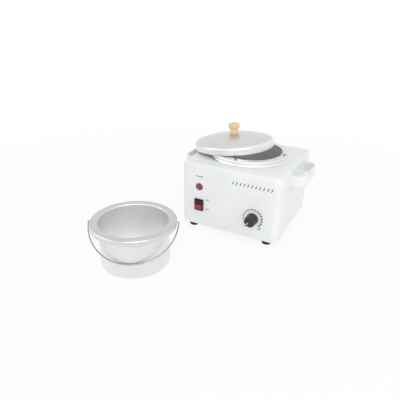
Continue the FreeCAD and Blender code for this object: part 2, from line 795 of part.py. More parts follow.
def control_knob():
    """Fluted knob, hollow behind for the nut, with a blind bore for the shaft."""
    body = knob_body("control_knob")
    top = "knob_stand + knob_height"
    bore, seat = "shaft_radius + fit_gap", "knob_stand + knob_bore_depth"
    steps = [
        ("knob_radius", "knob_stand"),
        ("knob_front_radius", f"{top} - knob_lip"),
        ("knob_front_radius - knob_lip", top, "knob_lip", 1),
        ("0", top),
        ("0", seat),
        (bore, seat),
        (bore, "knob_stand + knob_skirt_depth"),
        ("knob_skirt_radius", "knob_stand + knob_skirt_depth"),
        ("knob_skirt_radius", "knob_stand"),
    ]
    sketch = turn_section(body, steps)
    slot = outline(body, "XY_Plane", pointer_outline(), f"{top} - pointer_sink")
    pocket(body, slot, "pointer_sink", True)
    half_step = "180 / flute_count"
    reach = "knob_radius + flute_radius - flute_sink"
    flute = [(f"({reach}) * cos({half_step})", f"({reach}) * sin({half_step})", "flute_radius")]
    cut = pocket(body, circles(body, "XY_Plane", flute, "knob_stand"), "knob_height", True)
    pattern = body.newObject("PartDesign::PolarPattern", "PolarPattern")
    pattern.Originals = [cut]
    pattern.Axis = (sketch, ["V_Axis"])
    pattern.Angle = 360
    pattern.setExpression("Occurrences", bound("flute_count"))
    body.Tip = pattern
    doc.recompute()
    return body


def knob_pointer():
    """Pale bar let into the knob's face."""
    body = knob_body("knob_pointer")
    low = "knob_stand + knob_height - pointer_sink"
    pad(body, outline(body, "XY_Plane", pointer_outline(), low), "pointer_sink + pointer_proud")
    return body


def thermostat_shaft():
    body = knob_body("thermostat_shaft")
    low = "-(box_wall + shaft_seat - fit_gap)"
    high = "knob_stand + knob_bore_depth - fit_gap"
    pad(body, circles(body, "XY_Plane", [("0", "0", "shaft_radius")], low), f"{high} - ({low})")
    return body


def thermostat_bulb():
    """Sensing bulb lying along the underside of the well's floor."""
    place = on_warmer("bulb_x", "bulb_y", f"{WELL_FLOOR} - bulb_radius")
    steps = [
        ("0", "0"),
        ("bulb_radius - capillary_radius", "0"),
        ("bulb_radius", "capillary_radius", "capillary_radius", 1),
        ("bulb_radius", "bulb_length"),
        ("0", "bulb_length"),
    ]
    return revolve("thermostat_bulb", steps, place, (1, 0, 0), "-90")


def bulb_clip():
    """Bent strap that presses the bulb against the well's floor."""
    middle = "bulb_y + bulb_length / 2 - clip_width / 2"
    body = new_body("bulb_clip", on_warmer("bulb_x", middle, WELL_FLOOR))
    gap = "bulb_radius + fit_gap"
    outer = f"{gap} + clip_sheet"
    steps = [
        (f"-({outer} + clip_foot)", "0"),
        (f"-({outer} + clip_foot)", "-clip_sheet"),
        (f"-({outer})", "-clip_sheet"),
        (f"-({outer})", "-bulb_radius"),
        ("0", f"-(bulb_radius + {outer})", outer, 1),
        (outer, "-bulb_radius", outer, 1),
        (outer, "-clip_sheet"),
        (f"{outer} + clip_foot", "-clip_sheet"),
        (f"{outer} + clip_foot", "0"),
        (gap, "0"),
        (gap, "-bulb_radius"),
        ("0", f"-(bulb_radius + {gap})", gap, -1),
        (f"-({gap})", "-bulb_radius", gap, -1),
        (f"-({gap})", "0"),
    ]
    pad(body, outline(body, "XZ_Plane", steps), "clip_width", True)
    return body


def capillary():
    """Thin tube from the thermostat's case to the end of the bulb: straight runs joined by round bends."""
    start_place = on_front("dial_x", "-box_wall - thermostat_depth", DIAL_Z)
    end_place = on_warmer("bulb_x", "bulb_y", f"{WELL_FLOOR} - bulb_radius")
    start = FreeCAD.Vector(*[value(text) for text in start_place])
    end = FreeCAD.Vector(*[value(text) for text in end_place])
    reach = value("capillary_reach")
    start.z += value("thermostat_height / 4")
    corners = [
        start,
        start + FreeCAD.Vector(0, reach, 0),
        FreeCAD.Vector(end.x, start.y + reach, end.z),
        end,
    ]
    edges = []
    last = corners[0]
    for before, corner, after in zip(corners, corners[1:], corners[2:]):
        back, ahead = before - corner, after - corner
        half_turn = (math.pi - back.getAngle(ahead)) / 2
        cut = value("capillary_bend") * math.tan(half_turn)
        first = corner + FreeCAD.Vector(back).normalize() * cut
        second = corner + FreeCAD.Vector(ahead).normalize() * cut
        inward = (FreeCAD.Vector(back).normalize() + FreeCAD.Vector(ahead).normalize()).normalize()
        centre = corner + inward * (value("capillary_bend") / math.cos(half_turn))
        crown = centre - inward * value("capillary_bend")
        edges += [Part.LineSegment(last, first).toShape(), Part.Arc(first, crown, second).toShape()]
        last = second
    edges.append(Part.LineSegment(last, corners[-1]).toShape())
    path = Part.Wire(edges)
    section = Part.Wire(Part.Circle(start, corners[1] - start, value("capillary_radius")).toShape())
    made = doc.addObject("Part::Feature", "thermostat_capillary")
    made.Label = "thermostat_capillary"
    made.Shape = path.makePipeShell([section], True, False)
    return made


def thermal_cutout():
    """Disc cut-out held flat against the well's floor."""
    steps = [
        ("0", "-cutout_height"),
        ("cutout_body_radius", "-cutout_height"),
        ("cutout_body_radius", "-cutout_flange"),
        ("cutout_radius", "-cutout_flange"),
        ("cutout_radius", "0"),
        ("0", "0"),
    ]
    return revolve("thermal_cutout", steps, on_warmer("cutout_x", "cutout_y", WELL_FLOOR))


def terminal_block():
    """Block on the base plate with a channel along it for the wires' screws."""
    body = new_body("terminal_block", on_warmer("block_x", f"{FRONT} - block_inset", SHELL_BASE))
    edge = rectangle("-block_width / 2", "-block_depth / 2", "block_width / 2", "block_depth / 2")
    pad(body, outline(body, "XY_Plane", edge), "block_height")
    channel = rectangle("-block_width / 2", "-block_channel / 2", "block_width / 2", "block_channel / 2")
    pocket(body, outline(body, "XY_Plane", channel, "block_height / 2"), "block_height / 2", True)
    ways = [(f"{step} * block_width / 4", "0", SCREW_HOLE) for step in ("-1", "0", "1")]
    pocket(body, circles(body, "XY_Plane", ways, "block_height / 4"), "block_height / 4", True)
    return body


def cord_gland():
    """Bush in the rear wall, with a flange outside, that the cord would pass through."""
    steps = [
        ("gland_bore", "-gland_length"),
        ("gland_radius", "-gland_length"),
        ("gland_radius", "0"),
        ("gland_flange", "0"),
        ("gland_flange", "gland_flange_height - gland_round"),
        ("gland_flange - gland_round", "gland_flange_height", "gland_round", 1),
        ("gland_bore", "gland_flange_height"),
    ]
    return revolve("cord_gland", steps, on_warmer("gland_x", FRONT, "gland_z"), (1, 0, 0), "-90")


def gland_nut():
    body = new_body("gland_nut", on_warmer("gland_x", f"{FRONT} - box_wall", "gland_z"), (1, 0, 0), "90")
    pad(body, outline(body, "XY_Plane", hexagon("gland_nut_radius")), "gland_nut_height")
    pocket(body, circles(body, "XY_Plane", [("0", "0", "gland_radius + fit_gap")]), "gland_nut_height", True)
    return body


def on_pot(z):
    return ("pot_x", "pot_y", z)


PIVOT_HEIGHT = "pot_height - bail_drop"
BAIL_REST = "acos((pot_radius + bail_wire + bail_rest_gap) / bail_radius)"


def wax_pot():
    """Spun bucket with a broad flange, whose lip turns down and has a hole on each side for the bail."""
    sheet_round, lip_in = "pot_lip_round - pot_wall", "pot_flange_radius - pot_wall"
    mouth_end = "pot_radius - pot_wall + pot_mouth_round"
    steps = [
        ("0", "0"),
        ("pot_radius - pot_round", "0"),
        ("pot_radius", "pot_round", "pot_round", 1),
        ("pot_radius", "pot_height - pot_mouth_round"),
        (mouth_end, "pot_height - pot_wall", "pot_mouth_round - pot_wall", -1),
        ("pot_flange_radius - pot_lip_round", "pot_height - pot_wall"),
        (lip_in, "pot_height - pot_lip_round", sheet_round, -1),
        (lip_in, "pot_height - pot_lip"),
        ("pot_flange_radius", "pot_height - pot_lip"),
        ("pot_flange_radius", "pot_height - pot_lip_round"),
        ("pot_flange_radius - pot_lip_round", "pot_height", "pot_lip_round", 1),
        (mouth_end, "pot_height"),
        ("pot_radius - pot_wall", "pot_height - pot_mouth_round", "pot_mouth_round", 1),
        ("pot_radius - pot_wall", "pot_round"),
        ("pot_radius - pot_round", "pot_wall", "pot_round - pot_wall", -1),
        ("0", "pot_wall"),
    ]
    body = revolve("wax_pot", steps, on_pot("0"), (0, 0, 1), "pot_turn")
    hole = [("0", PIVOT_HEIGHT, "bail_wire + bail_gap")]
    pocket(body, circles(body, "YZ_Plane", hole, "pot_flange_radius"), "2 * pot_lip_round")
    pocket(body, circles(body, "YZ_Plane", hole, "-pot_flange_radius"), "2 * pot_lip_round", True)
    return body


def bail_wire():
    """Half ring of wire whose ends turn in through the pot's lip and are upset inside it."""
    ring = doc.addObject("Part::Torus", "bail_ring")
    ring.setExpression("Radius1", bound("bail_radius"))
    ring.setExpression("Radius2", bound("bail_wire"))
    ring.Angle3 = 180
    pieces = [ring]
    inner = "pot_flange_radius - pot_wall - bail_gap"
    for side in SIGNS:
        for radius, low, high in (
            ("bail_wire", f"{inner} - bail_head_height", "bail_radius"),
            ("bail_head_radius", f"{inner} - bail_head_height", inner),
        ):
            pin = doc.addObject("Part::Cylinder", "bail_end")
            pin.setExpression("Radius", bound(radius))
            pin.setExpression("Height", bound(f"{high} - ({low})"))
            set_place(pin, (f"{side} * ({low})", "0", "0"), (0, 1, 0), f"{side} * 90")
            pieces.append(pin)
        knuckle = doc.addObject("Part::Sphere", "bail_knuckle")
        knuckle.setExpression("Radius", bound("bail_wire"))
        set_place(knuckle, (f"{side} * bail_radius", "0", "0"))
        pieces.append(knuckle)
    wire = doc.addObject("Part::MultiFuse", "bail_wire")
    wire.Label = "bail_wire"
    wire.Shapes = pieces
    wire.Refine = True
    set_place(wire, on_pot(PIVOT_HEIGHT))
    turns = (((0, 0, 1), "pot_turn"), ((1, 0, 0), BAIL_REST), ((0, 0, 1), "180"))
    turn = FreeCAD.Rotation()
    for axis, angle in turns:
        turn = turn.multiply(FreeCAD.Rotation(FreeCAD.Vector(*axis), value(angle)))
    wire.Placement = FreeCAD.Placement(wire.Placement.Base, turn)
    return wire


def on_lid(body, lift):
    """Stands a piece on the lid's own axis, that far above its rim, where the lid leans on the collar."""
    lean = value("lid_lean")
    axis = FreeCAD.Vector(math.cos(math.radians(lean)), math.sin(math.radians(lean)), 0)
    turn = FreeCAD.Rotation(axis, value("lid_tilt"))
    rim = FreeCAD.Vector(*[value(text) for text in on_warmer("lid_x", "lid_y", f"{SHELL_TOP} + lid_rise")])
    body.Placement = FreeCAD.Placement(rim + turn.multVec(FreeCAD.Vector(0, 0, value(lift))), turn)
    return body


def lid_shell():
    """Spun cap with a domed top, a flat seat for its knob, a round shoulder and a straight skirt."""
    inner_round = "lid_round - lid_sheet"
    shoulder = "lid_radius - lid_round"
    dome = f"(({shoulder} - lid_seat) ^ 2 + lid_crown ^ 2) / (2 * lid_crown)"
    steps = [
        (SCREW_HOLE, f"{LID_TOP} - lid_sheet"),
        ("lid_seat", f"{LID_TOP} - lid_sheet"),
        (shoulder, "lid_height - lid_sheet", dome, -1),
        ("lid_radius - lid_sheet", "lid_height - lid_round", inner_round, -1),
        ("lid_radius - lid_sheet", "0"),
        ("lid_radius", "0"),
        ("lid_radius", "lid_height - lid_round"),
        (shoulder, "lid_height", "lid_round", 1),
        ("lid_seat", LID_TOP, dome, 1),
        (SCREW_HOLE, LID_TOP),
    ]
    return on_lid(revolve("lid_shell", steps), "0")


def lid_knob():
    """Turned wooden knob: a low bulge, a waist and a broad head, with a blind hole for its screw."""
    head_side = "grip_head_radius - grip_head_swell"
    steps = [
        ("grip_base_radius", "0"),
        ("grip_waist_radius", "grip_waist_height", "grip_bulge_curve", 1),
        (head_side, "grip_head_height", "grip_neck_curve", -1),
        (head_side, "grip_crown_height", "grip_head_curve", 1),
        ("0", "grip_height", f"(({head_side}) ^ 2 + (grip_height - grip_crown_height) ^ 2)"
         " / (2 * (grip_height - grip_crown_height))", 1),
        ("0", "grip_screw_depth"),
        (SCREW_HOLE, "grip_screw_depth"),
        (SCREW_HOLE, "0"),
    ]
    return on_lid(revolve("lid_knob", steps), LID_TOP)


def lid_washer():
    steps = [
        (SCREW_HOLE, "-washer_height"),
        ("washer_radius", "-washer_height"),
        ("washer_radius", "0"),
        (SCREW_HOLE, "0"),
    ]
    return on_lid(revolve("lid_washer", steps), f"{LID_TOP} - lid_sheet")


def lid_screw():
    shank = "washer_height + lid_sheet + grip_screw_depth - fit_gap"
    return on_lid(screw("lid_screw", shank, ("0", "0", "0")), f"{LID_TOP} - lid_sheet - washer_height")


# The warmer's box
nodes.append(housing_shell())
nodes.append(base_plate())
FOOT_NAMES = ("foot_front_left", "foot_rear_left", "foot_front_right", "foot_rear_right")
for foot_name, (foot_place_x, foot_place_y) in zip(FOOT_NAMES, FOOT_SPOTS):
    nodes.append(foot(foot_name, foot_place_x, foot_place_y))
FOOT_SHANK = f"foot_height - {HEAD_SINK} + plate_thickness + box_wall + screw_tail"
foot_screws = [screw("foot_screw", FOOT_SHANK, on_warmer(x, y, HEAD_SINK)) for x, y in FOOT_SPOTS]
nodes.append(group("foot_screws", foot_screws))
SIDE_SHANK = "plate_thickness + box_wall + screw_tail"
base_screws = [screw("base_screw", SIDE_SHANK, on_warmer(x, y, "foot_height")) for x, y in SIDE_SPOTS]
nodes.append(group("base_plate_screws", base_screws))
nodes.append(handle("handle_left", "-1"))
nodes.append(handle("handle_right", "1"))
nodes.append(handle_screws())

# The well and what heats it
nodes += [heating_well(), well_collar(), well_spacers(), well_screws()]
nodes += [band_heater(), heater_bolt(), insulation_sleeve()]
nodes += [thermostat_bulb(), bulb_clip(), capillary(), thermal_cutout()]

# The front panel
nodes += [pilot_lamp_lens(), pilot_lamp_body()]
nodes.append(
    panel_nut(
        "pilot_lamp_nut", "lamp_x", LAMP_Z, "-box_wall - lamp_nut_height", "lamp_nut_radius",
        "lamp_body_radius + fit_gap", "lamp_nut_height",
    )
)
nodes += [switch_housing(), switch_rocker(), thermostat_body()]
nodes.append(
    panel_nut(
        "thermostat_nut", "dial_x", DIAL_Z, "0", "bush_nut_radius", "bush_radius + fit_gap", "bush_nut_height",
    )
)
nodes += [control_knob(), knob_pointer(), thermostat_shaft()]

# The supply
nodes += [terminal_block(), cord_gland(), gland_nut()]
nodes.append(screw("earth_stud", "plate_thickness + earth_length", on_warmer(*EARTH_SPOT, "foot_height")))

# The loose pot and the lid
nodes += [wax_pot(), bail_wire(), lid_shell(), lid_knob(), lid_washer(), lid_screw()]

doc.recompute()
for item in doc.Objects:
    if "Invalid" in item.State or "Error" in item.State:
        raise RuntimeError(f"{item.Label} failed: {item.State}")
for piece in nodes:
    if piece.Shape.isNull() or not piece.Shape.isValid():
        raise RuntimeError(f"{piece.Label} has no sound shape")

os.makedirs("parts", exist_ok=True)
for piece in nodes:
    piece.Shape.exportStep(f"parts/{piece.Label}.step")
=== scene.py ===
import math

import bpy
from mathutils import Matrix, Vector


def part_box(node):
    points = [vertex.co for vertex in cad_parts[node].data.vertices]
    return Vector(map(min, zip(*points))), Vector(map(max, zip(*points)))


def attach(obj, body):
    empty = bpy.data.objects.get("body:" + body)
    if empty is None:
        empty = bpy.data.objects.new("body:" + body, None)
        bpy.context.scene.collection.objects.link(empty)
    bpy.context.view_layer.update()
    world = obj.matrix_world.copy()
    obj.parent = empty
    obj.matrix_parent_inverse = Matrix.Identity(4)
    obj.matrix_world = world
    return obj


# Wax warmer with its loose pot and lid. Metres, +Z up, the front panel faces -Y.

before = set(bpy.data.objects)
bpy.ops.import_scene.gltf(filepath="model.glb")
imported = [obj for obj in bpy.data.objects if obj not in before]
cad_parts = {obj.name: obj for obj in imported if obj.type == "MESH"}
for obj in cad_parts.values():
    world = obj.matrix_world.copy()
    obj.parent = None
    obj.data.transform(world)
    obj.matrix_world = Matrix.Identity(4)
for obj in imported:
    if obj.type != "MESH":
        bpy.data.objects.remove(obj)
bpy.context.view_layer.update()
scene = bpy.context.scene
MM = 0.001
UP = Vector((0, 0, 1))
INTO_PANEL = Vector((0, 1, 0))


def middle(node):
    """The centre of a node's box."""
    low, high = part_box(node)
    return (low + high) / 2


# Places that the looks depend on, read from the frame
WARMER = Vector((middle("housing_shell").x, middle("housing_shell").y, 0))
FRONT_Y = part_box("housing_shell")[0].y
LAMP = middle("pilot_lamp_lens")
LENS_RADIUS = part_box("pilot_lamp_lens")[1].x - LAMP.x
SWITCH = middle("switch_housing")
DIAL = middle("thermostat_nut")
POT = middle("wax_pot")

# The lid lies askew, and its own axis runs from its washer through its knob
LID = middle("lid_washer")
LID_AXIS = (middle("lid_knob") - LID).normalized()


# Building blocks of the materials

NOISE_RANGE = (0.25, 0.75)
RAMP_RANGE = (0.3, 0.7)


def new_material(name):
    """A material with its node tree and its Principled shader."""
    material = bpy.data.materials.new(name)
    material.use_nodes = True
    tree = material.node_tree
    return material, tree, tree.nodes["Principled BSDF"]


def set_inputs(shader, **values):
    """Sets a shader's sockets; a word's underscores stand for spaces."""
    for key, number in values.items():
        shader.inputs[key.replace("_", " ")].default_value = number


def add_node(tree, kind, **values):
    """A node with some of its settings and inputs; an input's underscores stand for spaces."""
    node = tree.nodes.new(kind)
    for key, item in values.items():
        if hasattr(node, key):
            setattr(node, key, item)
        else:
            node.inputs[key.replace("_", " ")].default_value = item
    return node


def combine(tree, operation, first, second):
    """A sum, product or the like of two sockets, as a socket."""
    node = add_node(tree, "ShaderNodeMath", operation=operation)
    tree.links.new(first, node.inputs[0])
    tree.links.new(second, node.inputs[1])
    return node.outputs["Value"]


def map_range(tree, value, before, after):
    """A socket's value carried from one range of numbers to another, as a socket."""
    node = add_node(
        tree, "ShaderNodeMapRange",
        From_Min=before[0], From_Max=before[1], To_Min=after[0], To_Max=after[1],
    )
    tree.links.new(value, node.inputs["Value"])
    return node.outputs["Result"]


def coordinates(tree):
    """The place on the object, in the shared frame's metres."""
    return tree.nodes.new("ShaderNodeTexCoord").outputs["Object"]


def offset_from(tree, point):
    """The way from a point to the place on the object, as a socket."""
    node = add_node(tree, "ShaderNodeVectorMath", operation="SUBTRACT")
    tree.links.new(coordinates(tree), node.inputs[0])
    node.inputs[1].default_value = point
    return node.outputs["Vector"]


def distance_from(tree, point, axis):
    """The distance from a line, as a socket."""
    across = add_node(tree, "ShaderNodeVectorMath", operation="CROSS_PRODUCT")
    tree.links.new(offset_from(tree, point), across.inputs[0])
    across.inputs[1].default_value = axis
    length = add_node(tree, "ShaderNodeVectorMath", operation="LENGTH")
    tree.links.new(across.outputs["Vector"], length.inputs[0])
    return length.outputs["Value"]


def distance_along(tree, point, axis):
    """The distance along an axis from a point on it, as a socket."""
    along = add_node(tree, "ShaderNodeVectorMath", operation="DOT_PRODUCT")
    tree.links.new(offset_from(tree, point), along.inputs[0])
    along.inputs[1].default_value = axis
    return along.outputs["Value"]


def noise(tree, scale, detail=2.0, vector=None):
    """A cloudy pattern over the object, mostly within NOISE_RANGE, as a socket."""
    node = add_node(tree, "ShaderNodeTexNoise", Scale=scale, Detail=detail)
    tree.links.new(vector or coordinates(tree), node.inputs["Vector"])
    return node.outputs["Fac"]


def bump(tree, shader, height, strength, distance):
    """Adds a height to the shader's normal."""
    node = add_node(tree, "ShaderNodeBump", Strength=strength, Distance=distance)
    tree.links.new(height, node.inputs["Height"])
    tree.links.new(node.outputs["Normal"], shader.inputs["Normal"])


def roughness_between(tree, shader, value, low, high):
    """Gives a shader a roughness between two, by a noise."""
    roughness = map_range(tree, value, NOISE_RANGE, (low, high))
    tree.links.new(roughness, shader.inputs["Roughness"])


def colour_between(tree, shader, value, dark, light):
    """Gives a shader a colour between two, by a 0 to 1 value."""
    ramp = tree.nodes.new("ShaderNodeValToRGB")
    for element, position, colour in zip(ramp.color_ramp.elements, RAMP_RANGE, (dark, light)):
        element.position = position
        element.color = (*colour, 1)
    tree.links.new(value, ramp.inputs["Fac"])
    tree.links.new(ramp.outputs["Color"], shader.inputs["Base Color"])


# Materials

ROUGHNESS_SPREAD = (-0.06, 0.08)
SPUN_ROUGHNESS_SPREAD = (-0.05, 0.07)
SPUN_ANISOTROPY = 0.5
RING_SCALE = 240.0
RING_DETAIL = 6.0
FINISH_BLEND = 0.5 * MM
ROCKER_BLEND = 1.5 * MM
LENS_RIM_SHADE = (0.75, 0.2)
GRAIN_STRETCH = (1.0, 1.0, 0.07)


def powder_coat(name, dark, light):
    """White baked paint with a fine orange peel and faint cloudiness."""
    material, tree, shader = new_material(name)
    colour_between(tree, shader, noise(tree, scale=14), dark, light)
    set_inputs(shader, Roughness=0.42, Specular_IOR_Level=0.4)
    bump(tree, shader, noise(tree, scale=900, detail=3.0), strength=0.08, distance=0.4 * MM)
    return material


def spun_metal(name, point, axis, dark, light, roughness, ring_height):
    """Aluminium turned on a lathe: fine rings round an axis, in its colour, gloss and surface."""
    material, tree, shader = new_material(name)
    place = combine(tree, "ADD", distance_from(tree, point, axis), distance_along(tree, point, axis))
    rings = add_node(
        tree, "ShaderNodeTexNoise", noise_dimensions="1D", Scale=RING_SCALE, Detail=RING_DETAIL,
    )
    tree.links.new(place, rings.inputs["W"])
    value = rings.outputs["Fac"]
    below, above = SPUN_ROUGHNESS_SPREAD
    colour_between(tree, shader, value, dark, light)
    roughness_between(tree, shader, value, roughness + below, roughness + above)
    set_inputs(shader, Metallic=1.0, Anisotropic=SPUN_ANISOTROPY)
    bump(tree, shader, value, strength=0.25, distance=ring_height)
    return material


def finish_and_shade_past(material, measure, point, axis, level, painted_dimming, added_roughness):
    """Gives a spun metal another roughness, and a colour scaled darker as painted shade, where a distance
    along or from its axis is past a level.
    """
    tree = material.node_tree
    shader = tree.nodes["Principled BSDF"]
    distance = measure(tree, point, axis)
    edge = (level - FINISH_BLEND, level + FINISH_BLEND)
    # The darker colour past the level is painted shade; only the roughness is a real change of finish.
    colour = shader.inputs["Base Color"].links[0].from_socket
    dimmed = add_node(tree, "ShaderNodeVectorMath", operation="SCALE")
    tree.links.new(colour, dimmed.inputs[0])
    tree.links.new(map_range(tree, distance, edge, (1.0, painted_dimming)), dimmed.inputs["Scale"])
    tree.links.new(dimmed.outputs["Vector"], shader.inputs["Base Color"])
    roughness = shader.inputs["Roughness"].links[0].from_socket
    changed = combine(tree, "ADD", roughness, map_range(tree, distance, edge, (0.0, added_roughness)))
    tree.links.new(changed, shader.inputs["Roughness"])


def plain_metal(name, dark, light, roughness):
    """Drawn or plated metal with faint mottling."""
    material, tree, shader = new_material(name)
    value = noise(tree, scale=260, detail=4.0)
    below, above = ROUGHNESS_SPREAD
    colour_between(tree, shader, value, dark, light)
    roughness_between(tree, shader, value, roughness + below, roughness + above)
    set_inputs(shader, Metallic=1.0)
    bump(tree, shader, value, strength=0.1, distance=0.2 * MM)
    return material


def moulded(name, dark, light, roughness, gloss=0.5):
    """Moulded plastic or rubber with a fine grain."""
    material, tree, shader = new_material(name)
    colour_between(tree, shader, noise(tree, scale=90), dark, light)
    value = noise(tree, scale=1400)
    below, above = ROUGHNESS_SPREAD
    roughness_between(tree, shader, value, roughness + below, roughness + above)
    set_inputs(shader, Specular_IOR_Level=gloss)
    bump(tree, shader, value, strength=0.15, distance=0.2 * MM)
    return material


def clear_red(name, point, axis, radius):
    """Translucent red plastic with a gloss skin, with painted shade that darkens it towards its rim."""
    material, tree, shader = new_material(name)
    # Painted shade: bright at the lens's centre, dark at its rim.
    rim_shade = map_range(tree, distance_from(tree, point, axis), (0.0, radius), LENS_RIM_SHADE)
    colour_between(tree, shader, rim_shade, dark=(0.20, 0.005, 0.012), light=(0.60, 0.020, 0.030))
    set_inputs(shader, Roughness=0.12, IOR=1.49, Transmission_Weight=0.3)
    set_inputs(shader, Coat_Weight=0.6, Coat_Roughness=0.06)
    bump(tree, shader, noise(tree, scale=700), strength=0.05, distance=0.2 * MM)
    return material


def rocker_red(name, point):
    """Red rocker, darker above a point as painted shade and brighter below it as painted light."""
    material, tree, shader = new_material(name)
    # The tilted halves meet the light differently; that shade and light is painted into the colour.
    height = distance_along(tree, point, UP)
    shade = map_range(tree, height, (-ROCKER_BLEND, ROCKER_BLEND), (RAMP_RANGE[1], RAMP_RANGE[0]))
    colour_between(tree, shader, shade, dark=(0.07, 0.004, 0.010), light=(0.40, 0.040, 0.062))
    set_inputs(shader, Roughness=0.26, Specular_IOR_Level=0.3, Coat_Weight=0.15, Coat_Roughness=0.08)
    bump(tree, shader, noise(tree, scale=700), strength=0.05, distance=0.2 * MM)
    return material


def turned_wood(name):
    """Pale lacquered beech with its grain upright."""
    material, tree, shader = new_material(name)
    stretch = add_node(tree, "ShaderNodeMapping", Scale=GRAIN_STRETCH)
    tree.links.new(coordinates(tree), stretch.inputs["Vector"])
    grain = noise(tree, scale=1100, detail=3.0, vector=stretch.outputs["Vector"])
    colour_between(tree, shader, grain, dark=(0.79, 0.54, 0.34), light=(0.86, 0.62, 0.42))
    roughness_between(tree, shader, grain, low=0.38, high=0.55)
    set_inputs(shader, Coat_Weight=0.35, Coat_Roughness=0.18)
    bump(tree, shader, grain, strength=0.04, distance=0.1 * MM)
    return material


def fibre(name):
    """Felted insulation with tangled threads."""
    material, tree, shader = new_material(name)
    value = noise(tree, scale=600, detail=8.0)
    colour_between(tree, shader, value, dark=(0.52, 0.46, 0.34), light=(0.86, 0.82, 0.70))
    set_inputs(shader, Roughness=0.95, Sheen_Weight=0.4)
    bump(tree, shader, value, strength=0.8, distance=1.5 * MM)
    return material


def printed_ink(name):
    """Dark screen print with slightly uneven coverage."""
    material, tree, shader = new_material(name)
    value = noise(tree, scale=1600, detail=3.0)
    colour_between(tree, shader, value, dark=(0.018, 0.018, 0.02), light=(0.05, 0.05, 0.055))
    set_inputs(shader, Roughness=0.5)
    return material


# Finishes of the frame's nodes

# Where a spun piece changes from one finish and painted shade to the next, along its axis or from it
COLLAR_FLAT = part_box("well_collar")[1].z - 1.0 * MM
LID_SHOULDER = -15.5 * MM
POT_WALL_RADIUS = 75.8 * MM
POT_LIP_RADIUS = 91.2 * MM
POT_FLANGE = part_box("wax_pot")[1].z - POT.z - 1.2 * MM

COLLAR_METAL = spun_metal(
    "collar_aluminium", WARMER, UP,
    dark=(0.76, 0.77, 0.78), light=(0.88, 0.88, 0.88), roughness=0.40, ring_height=0.05 * MM,
)
# The collar's flat top is rougher, and darker as painted shade.
finish_and_shade_past(
    COLLAR_METAL, distance_along, WARMER, UP,
    level=COLLAR_FLAT, painted_dimming=0.88, added_roughness=0.08,
)
LID_METAL = spun_metal(
    "lid_aluminium", LID, LID_AXIS,
    dark=(0.80, 0.81, 0.81), light=(0.85, 0.85, 0.85), roughness=0.27, ring_height=0.05 * MM,
)
# The lid's top above its shoulder is rougher, and darker as painted shade.
finish_and_shade_past(
    LID_METAL, distance_along, LID, LID_AXIS,
    level=LID_SHOULDER, painted_dimming=0.81, added_roughness=0.11,
)
POT_METAL = spun_metal(
    "pot_aluminium", POT, UP,
    dark=(0.89, 0.90, 0.895), light=(0.97, 0.97, 0.96), roughness=0.40, ring_height=0.1 * MM,
)
# The pot is rougher past its wall radius and glossier on its lip, and darker past each level, most on its
# flange top, as painted shade.
finish_and_shade_past(
    POT_METAL, distance_from, POT, UP,
    level=POT_WALL_RADIUS, painted_dimming=0.905, added_roughness=0.16,
)
finish_and_shade_past(
    POT_METAL, distance_from, POT, UP,
    level=POT_LIP_RADIUS, painted_dimming=0.88, added_roughness=-0.30,
)
finish_and_shade_past(
    POT_METAL, distance_along, POT, UP,
    level=POT_FLANGE, painted_dimming=0.735, added_roughness=-0.10,
)
WELL_METAL = spun_metal(
    "well_aluminium", WARMER, UP,
    dark=(0.90, 0.91, 0.91), light=(0.97, 0.97, 0.97), roughness=0.62, ring_height=0.1 * MM,
)
WHITE = powder_coat("powder_coat_white", dark=(0.84, 0.85, 0.85), light=(0.89, 0.90, 0.90))
BASE_STEEL = powder_coat("powder_coat_base", dark=(0.76, 0.77, 0.77), light=(0.82, 0.83, 0.83))
ZINC = plain_metal("zinc_plate", dark=(0.50, 0.51, 0.53), light=(0.66, 0.66, 0.67), roughness=0.34)
BRIGHT_WIRE = plain_metal("bright_wire", dark=(0.32, 0.32, 0.32), light=(0.45, 0.45, 0.45), roughness=0.24)
DARK_STEEL = plain_metal("dark_screw", dark=(0.26, 0.26, 0.265), light=(0.36, 0.36, 0.365), roughness=0.4)
HEATER_METAL = plain_metal("heater_sheath", dark=(0.34, 0.32, 0.29), light=(0.48, 0.46, 0.42), roughness=0.5)
COPPER = plain_metal("copper_tube", dark=(0.60, 0.34, 0.20), light=(0.74, 0.46, 0.30), roughness=0.32)
RUBBER = moulded("foot_rubber", dark=(0.012, 0.012, 0.012), light=(0.022, 0.022, 0.022), roughness=0.72)
BLACK = moulded(
    "black_plastic", dark=(0.012, 0.012, 0.013), light=(0.022, 0.022, 0.024), roughness=0.36, gloss=0.25,
)
KNOB_GREY = moulded(
    "knob_plastic", dark=(0.026, 0.026, 0.027), light=(0.046, 0.046, 0.047), roughness=0.42, gloss=0.35,
)
PHENOLIC = moulded("brown_phenolic", dark=(0.03, 0.022, 0.018), light=(0.06, 0.045, 0.035), roughness=0.5)
POINTER_PAINT = moulded("pointer_paint", dark=(0.78, 0.78, 0.76), light=(0.86, 0.86, 0.84), roughness=0.5)
BLOCK_PLASTIC = moulded("block_plastic", dark=(0.70, 0.70, 0.66), light=(0.80, 0.80, 0.76), roughness=0.5)
LENS_RED = clear_red("lens_red", LAMP, INTO_PANEL, LENS_RADIUS)
ROCKER_RED = rocker_red("rocker_red", SWITCH)
WOOD = turned_wood("turned_beech")
FIBRE = fibre("insulation_fibre")
INK = printed_ink("panel_ink")

